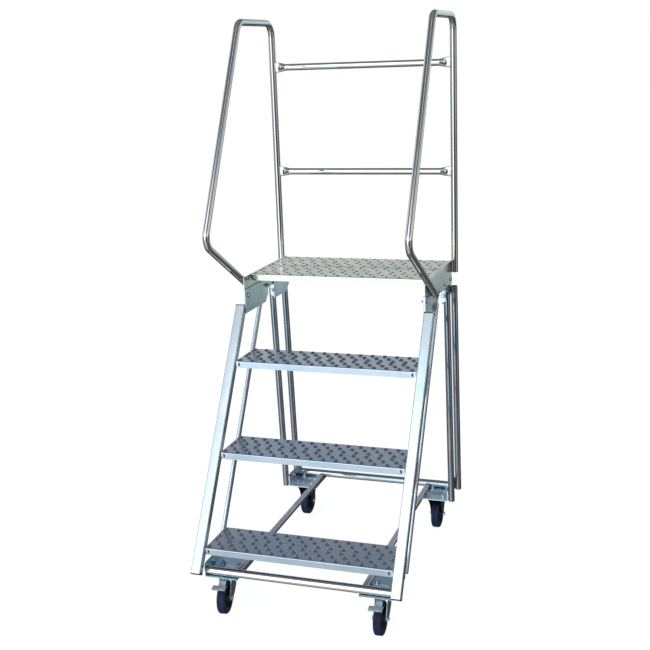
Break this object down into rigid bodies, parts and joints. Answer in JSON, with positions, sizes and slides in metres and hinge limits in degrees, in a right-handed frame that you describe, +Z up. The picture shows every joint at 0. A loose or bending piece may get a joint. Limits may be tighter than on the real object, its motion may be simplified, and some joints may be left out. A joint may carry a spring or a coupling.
{
  "type": "rolling warehouse ladder",
  "caption": "Rolling step ladder with perforated sheet treads, a guarded platform, tube handrails, braked swivel casters in front and rigid casters behind.",
  "frame": {"origin": "middle of the footprint at floor level, under the wheels' contact plane", "axes": "+Z up, +X to the right of someone climbing the steps, +Y the way they climb, so the steps face -Y"},
  "size_m": [0.65, 0.8995, 1.7587],
  "materials": {
    "tread_zinc": "zinc plated sheet steel, satin, purple-grey passivation",
    "deck_zinc": "zinc plated sheet steel, satin, yellow-grey passivation",
    "plate_zinc": "zinc plated sheet steel, satin",
    "bright_zinc": "bright zinc plated sheet steel",
    "stile_zinc": "bright blue zinc plated steel tube",
    "end_cap_plastic": "moulded plastic tube end cap",
    "leg_chrome": "polished bright plated steel tube",
    "rail_chrome": "polished bright plated steel tube",
    "base_zinc": "dull plated steel tube",
    "tyre_rubber": "moulded rubber tread",
    "rim_plastic": "moulded nylon wheel centre",
    "fork_zinc": "zinc plated pressed steel",
    "rear_fork_zinc": "dark plated pressed steel",
    "corner_zinc": "dull blue-green zinc plated sheet steel",
    "bolt_zinc": "blue zinc plated steel",
    "pedal_zinc": "bright zinc plated pressed steel"
  },
  "bodies": {
    "frame": {"axle_rear_left": "bolt_zinc", "axle_rear_right": "bolt_zinc", "base_rail_left": "base_zinc", "base_rail_right": "base_zinc", "caster_fork_rear_left": "rear_fork_zinc", "caster_fork_rear_right": "rear_fork_zinc", "caster_plate_front_left": "bolt_zinc", "caster_plate_front_right": "bolt_zinc", "corner_bracket_front_left": "corner_zinc", "corner_bracket_front_right": "corner_zinc", "corner_bracket_rear_left": "bright_zinc", "corner_bracket_rear_right": "bright_zinc", "front_bracket_left": "bright_zinc", "front_bracket_right": "bright_zinc", "front_cross_tube": "leg_chrome", "front_leg_left": "leg_chrome", "front_leg_right": "leg_chrome", "front_stile_left": "stile_zinc", "front_stile_right": "stile_zinc", "guard_bar_lower": "rail_chrome", "guard_bar_upper": "rail_chrome", "handrail_left": "rail_chrome", "handrail_right": "rail_chrome", "kingpin_front_left": "bolt_zinc", "kingpin_front_right": "bolt_zinc", "platform_front_plank": "deck_zinc", "platform_rear_plank": "deck_zinc", "rear_bracket_left": "bright_zinc", "rear_bracket_right": "bright_zinc", "rear_cross_tube": "leg_chrome", "rear_leg_left": "leg_chrome", "rear_leg_right": "leg_chrome", "rear_stile_left": "stile_zinc", "rear_stile_right": "stile_zinc", "side_plate_left": "plate_zinc", "side_plate_right": "plate_zinc", "stile_cap_bottom_left": "end_cap_plastic", "stile_cap_bottom_right": "end_cap_plastic", "stile_cap_top_left": "end_cap_plastic", "stile_cap_top_right": "end_cap_plastic", "swivel_race_front_left": "bolt_zinc", "swivel_race_front_right": "bolt_zinc", "tread_1": "tread_zinc", "tread_2": "tread_zinc", "tread_3": "tread_zinc"},
    "caster_front_left": {"caster_fork_front_left": "fork_zinc", "axle_front_left": "bolt_zinc"},
    "wheel_front_left": {"tyre_front_left": "tyre_rubber", "rim_front_left": "rim_plastic"},
    "pedal_front_left": {"brake_pedal_front_left": "pedal_zinc"},
    "caster_front_right": {"caster_fork_front_right": "fork_zinc", "axle_front_right": "bolt_zinc"},
    "wheel_front_right": {"tyre_front_right": "tyre_rubber", "rim_front_right": "rim_plastic"},
    "pedal_front_right": {"brake_pedal_front_right": "pedal_zinc"},
    "wheel_rear_left": {"tyre_rear_left": "tyre_rubber", "rim_rear_left": "rim_plastic"},
    "wheel_rear_right": {"tyre_rear_right": "tyre_rubber", "rim_rear_right": "rim_plastic"}
  },
  "joints": [
    {"name": "swivel_front_left", "type": "hinge", "parent": "frame", "child": "caster_front_left", "pos_m": [-0.247, -0.35375, 0.11], "axis": [0, 0, 1], "continuous": true},
    {"name": "spin_front_left", "type": "hinge", "parent": "caster_front_left", "child": "wheel_front_left", "pos_m": [-0.2427, -0.39151, 0.05], "axis": [0.9936, 0.1132, 0], "continuous": true},
    {"name": "brake_front_left", "type": "hinge", "parent": "caster_front_left", "child": "pedal_front_left", "pos_m": [-0.24428, -0.3776, 0.103], "axis": [-0.9936, -0.1132, 0], "range_deg": [0, 15]},
    {"name": "swivel_front_right", "type": "hinge", "parent": "frame", "child": "caster_front_right", "pos_m": [0.247, -0.35375, 0.11], "axis": [0, 0, 1], "continuous": true},
    {"name": "spin_front_right", "type": "hinge", "parent": "caster_front_right", "child": "wheel_front_right", "pos_m": [0.24892, -0.3917, 0.05], "axis": [0.9987, 0.0506, 0], "continuous": true},
    {"name": "brake_front_right", "type": "hinge", "parent": "caster_front_right", "child": "pedal_front_right", "pos_m": [0.24821, -0.37772, 0.103], "axis": [-0.9987, -0.0506, 0], "range_deg": [0, 15]},
    {"name": "spin_rear_left", "type": "hinge", "parent": "frame", "child": "wheel_rear_left", "pos_m": [-0.2434, 0.37035, 0.05], "axis": [1, 0, 0], "continuous": true},
    {"name": "spin_rear_right", "type": "hinge", "parent": "frame", "child": "wheel_rear_right", "pos_m": [0.2434, 0.37035, 0.05], "axis": [1, 0, 0], "continuous": true}
  ]
}
